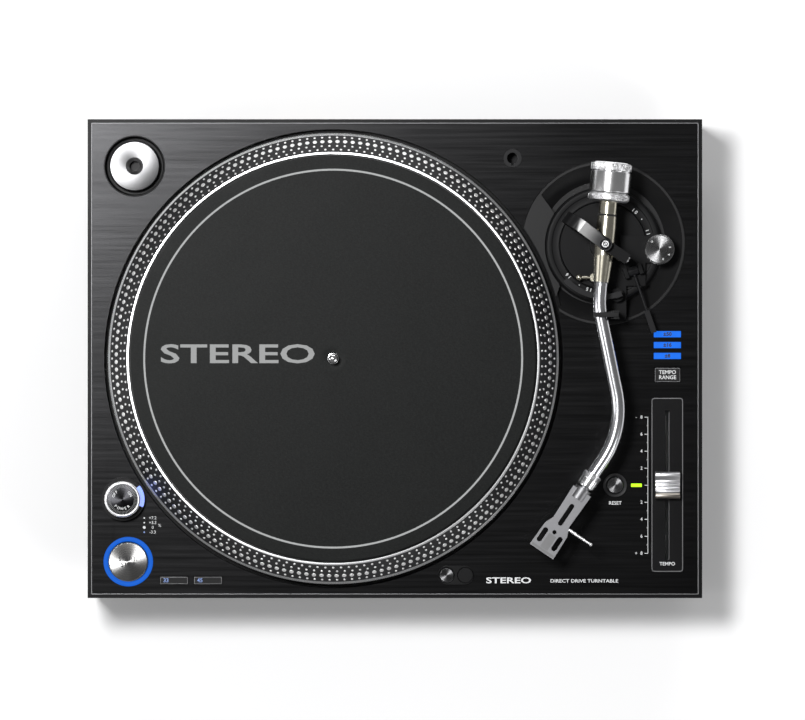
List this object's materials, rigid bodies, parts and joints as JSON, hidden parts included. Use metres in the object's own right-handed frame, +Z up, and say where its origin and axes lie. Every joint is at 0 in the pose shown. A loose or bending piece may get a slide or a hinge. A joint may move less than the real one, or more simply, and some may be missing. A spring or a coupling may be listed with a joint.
{
  "type": "turntable record player",
  "caption": "Direct-drive record turntable with a strobe-dotted platter, a long tempo slider and an S-shaped tonearm with a screw-on counterweight.",
  "frame": {"origin": "centre of the outline seen from above, on the surface that the feet stand on", "axes": "+X to the right, towards the tonearm; +Y to the rear; +Z up"},
  "size_m": [0.453, 0.353, 0.1537],
  "materials": {
    "chassis": "satin",
    "panel": "brushed, black anodised",
    "resin": "matte",
    "base_rubber": "matte",
    "black_rubber": "matte",
    "black_plastic": "satin",
    "board": "satin",
    "copper": "satin",
    "brass": "satin",
    "gold": "polished",
    "blue_light": "lit",
    "green_light": "lit",
    "cast_platter": "turned",
    "magnet": "satin",
    "spindle_steel": "polished",
    "felt": "felt",
    "spun_metal": "spun",
    "knurled_metal": "knurled",
    "dark_metal": "satin",
    "arm_silver": "satin",
    "champagne": "satin",
    "weight_metal": "turned",
    "shell_metal": "blasted",
    "smoke_plastic": "gloss"
  },
  "bodies": {
    "plinth": {"top_chassis": "chassis", "top_panel": "panel", "resin_deck": "resin", "rubber_base": "base_rubber", "stator": "copper", "bearing_housing": "brass", "power_supply": "board", "main_board": "board", "adapter_well": "black_plastic", "headshell_stand": "black_rubber", "strobe_housing": "black_plastic", "strobe_window": "blue_light", "start_ring": "blue_light", "lamp_housing": "black_plastic", "slider_bezel": "black_plastic", "fader_unit": "dark_metal", "range_lights": "blue_light", "zero_light": "green_light", "arm_dish": "dark_metal", "rear_jacks": "gold", "mains_inlet": "black_plastic"},
    "platter": {"platter": "cast_platter", "platter_damper": "black_rubber", "rotor_magnet": "magnet", "spindle": "spindle_steel", "slipmat": "felt"},
    "arm_base": {"arm_base": "dark_metal", "bearing_bridge": "dark_metal", "top_pivot": "spindle_steel", "arm_rest": "black_plastic"},
    "gimbal": {"gimbal": "dark_metal"},
    "arm": {"pivot_housing": "champagne", "arm_tube": "arm_silver", "rear_shaft": "champagne"},
    "weight_core": {"weight_insert": "black_rubber"},
    "headshell": {"headshell": "shell_metal", "finger_lift": "arm_silver"},
    "single_adapter": {"single_adapter": "spun_metal"},
    "start_button": {"start_button": "spun_metal"},
    "button_33": {"button_33": "black_plastic"},
    "button_45": {"button_45": "black_plastic"},
    "reset_button": {"reset_button": "spun_metal"},
    "range_button": {"range_button": "black_plastic"},
    "lamp_button": {"lamp_button": "spun_metal"},
    "stylus_lamp": {"stylus_lamp": "black_plastic"},
    "power_knob": {"power_knob": "knurled_metal"},
    "tempo_knob": {"tempo_knob": "arm_silver"},
    "height_ring": {"height_ring": "dark_metal"},
    "height_lock": {"height_lock": "champagne"},
    "antiskate_dial": {"antiskate_dial": "spun_metal"},
    "cue_lever": {"cue_lever": "smoke_plastic"},
    "lift_platform": {"lift_platform": "black_rubber"},
    "arm_clip": {"arm_clip": "black_plastic"},
    "counterweight": {"counterweight": "weight_metal"},
    "scale_ring": {"scale_ring": "knurled_metal"},
    "lock_collar": {"lock_collar": "arm_silver"},
    "foot_front_left": {"foot_front_left": "black_rubber"},
    "foot_front_right": {"foot_front_right": "black_rubber"},
    "foot_rear_left": {"foot_rear_left": "black_rubber"},
    "foot_rear_right": {"foot_rear_right": "black_rubber"}
  },
  "joints": [
    {"name": "platter_spin", "type": "hinge", "parent": "plinth", "child": "platter", "pos_m": [-0.0453, 0, 0.1], "axis": [0, 0, -1], "continuous": true},
    {"name": "adapter_lift", "type": "slide", "parent": "plinth", "child": "single_adapter", "axis": [0, 0, 1], "range_m": [0, 0.03]},
    {"name": "start_press", "type": "slide", "parent": "plinth", "child": "start_button", "axis": [0, 0, -1], "range_m": [0, 0.0015], "stiffness_N_per_m": 800, "springref_m": -0.001},
    {"name": "press_33", "type": "slide", "parent": "plinth", "child": "button_33", "axis": [0, 0, -1], "range_m": [0, 0.0015], "stiffness_N_per_m": 800, "springref_m": -0.001},
    {"name": "press_45", "type": "slide", "parent": "plinth", "child": "button_45", "axis": [0, 0, -1], "range_m": [0, 0.0015], "stiffness_N_per_m": 800, "springref_m": -0.001},
    {"name": "reset_press", "type": "slide", "parent": "plinth", "child": "reset_button", "axis": [0, 0, -1], "range_m": [0, 0.0015], "stiffness_N_per_m": 800, "springref_m": -0.001},
    {"name": "range_press", "type": "slide", "parent": "plinth", "child": "range_button", "axis": [0, 0, -1], "range_m": [0, 0.0015], "stiffness_N_per_m": 800, "springref_m": -0.001},
    {"name": "lamp_press", "type": "slide", "parent": "plinth", "child": "lamp_button", "axis": [0, 0, -1], "range_m": [0, 0.0015], "stiffness_N_per_m": 800, "springref_m": -0.001},
    {"name": "lamp_rise", "type": "slide", "parent": "plinth", "child": "stylus_lamp", "axis": [0, 0, 1], "range_m": [0, 0.025]},
    {"name": "power_turn", "type": "hinge", "parent": "plinth", "child": "power_knob", "pos_m": [-0.2001, -0.1034, 0.11], "axis": [0, 0, -1], "range_deg": [0, 60]},
    {"name": "tempo_slide", "type": "slide", "parent": "plinth", "child": "tempo_knob", "axis": [0, 1, 0], "range_m": [-0.05, 0.05]},
    {"name": "ring_turn", "type": "hinge", "parent": "plinth", "child": "height_ring", "pos_m": [0.15337, 0.0835, 0.095], "axis": [0, 0, 1], "range_deg": [0, 150]},
    {"name": "arm_height", "type": "slide", "parent": "plinth", "child": "arm_base", "axis": [0, 0, 1], "range_m": [0, 0.006]},
    {"name": "lock_turn", "type": "hinge", "parent": "arm_base", "child": "height_lock", "pos_m": [0.14637, 0.0597, 0.104], "axis": [0, 0, 1], "range_deg": [0, 40]},
    {"name": "antiskate_turn", "type": "hinge", "parent": "arm_base", "child": "antiskate_dial", "pos_m": [0.19427, 0.0803, 0.11], "axis": [0, 0, -1], "range_deg": [0, 270]},
    {"name": "cue_raise", "type": "hinge", "parent": "arm_base", "child": "cue_lever", "pos_m": [0.17507, 0.0645, 0.109], "axis": [-0.9472, -0.3206, 0], "range_deg": [0, 45]},
    {"name": "platform_rise", "type": "slide", "parent": "arm_base", "child": "lift_platform", "axis": [0, 0, 1], "range_m": [0, 0.0055]},
    {"name": "clip_open", "type": "hinge", "parent": "arm_base", "child": "arm_clip", "pos_m": [0.16197, 0.0321, 0.1381], "axis": [0, 1, 0], "range_deg": [0, 112]},
    {"name": "arm_swing", "type": "hinge", "parent": "arm_base", "child": "gimbal", "pos_m": [0.15337, 0.0835, 0.133], "axis": [0, 0, -1], "range_deg": [0, 42]},
    {"name": "arm_lift", "type": "hinge", "parent": "gimbal", "child": "arm", "pos_m": [0.15337, 0.0835, 0.133], "axis": [-0.829, 0.5592, 0], "range_deg": [0, 8]},
    {"name": "weight_slide", "type": "slide", "parent": "arm", "child": "weight_core", "axis": [0.0906, 0.9959, 0], "range_m": [-0.004, 0.004]},
    {"name": "weight_turn", "type": "hinge", "parent": "weight_core", "child": "counterweight", "pos_m": [0.15337, 0.0835, 0.133], "axis": [0.0906, 0.9959, 0], "range_deg": [-720, 720]},
    {"name": "scale_turn", "type": "hinge", "parent": "counterweight", "child": "scale_ring", "pos_m": [0.15337, 0.0835, 0.133], "axis": [0.0906, 0.9959, 0], "range_deg": [-180, 180]},
    {"name": "collar_turn", "type": "hinge", "parent": "arm", "child": "lock_collar", "pos_m": [0.14539, -0.08424, 0.133], "axis": [-0.5592, -0.829, 0], "range_deg": [0, 60]},
    {"name": "shell_pull", "type": "slide", "parent": "arm", "child": "headshell", "axis": [-0.5592, -0.829, 0], "range_m": [0, 0.012]},
    {"name": "front_left_level", "type": "slide", "parent": "plinth", "child": "foot_front_left", "axis": [0, 0, -1], "range_m": [0, 0.006]},
    {"name": "front_right_level", "type": "slide", "parent": "plinth", "child": "foot_front_right", "axis": [0, 0, -1], "range_m": [0, 0.006]},
    {"name": "rear_left_level", "type": "slide", "parent": "plinth", "child": "foot_rear_left", "axis": [0, 0, -1], "range_m": [0, 0.006]},
    {"name": "rear_right_level", "type": "slide", "parent": "plinth", "child": "foot_rear_right", "axis": [0, 0, -1], "range_m": [0, 0.006]}
  ],
  "couplings": [
    {"joint": "arm_height", "follows": "ring_turn", "m_per_rad": 0.0022918},
    {"joint": "platform_rise", "follows": "cue_raise", "m_per_rad": 0.0070028},
    {"joint": "clip_open", "follows": "arm_lift", "ratio": 13.75},
    {"joint": "weight_slide", "follows": "weight_turn", "m_per_rad": 0.00031831}
  ]
}
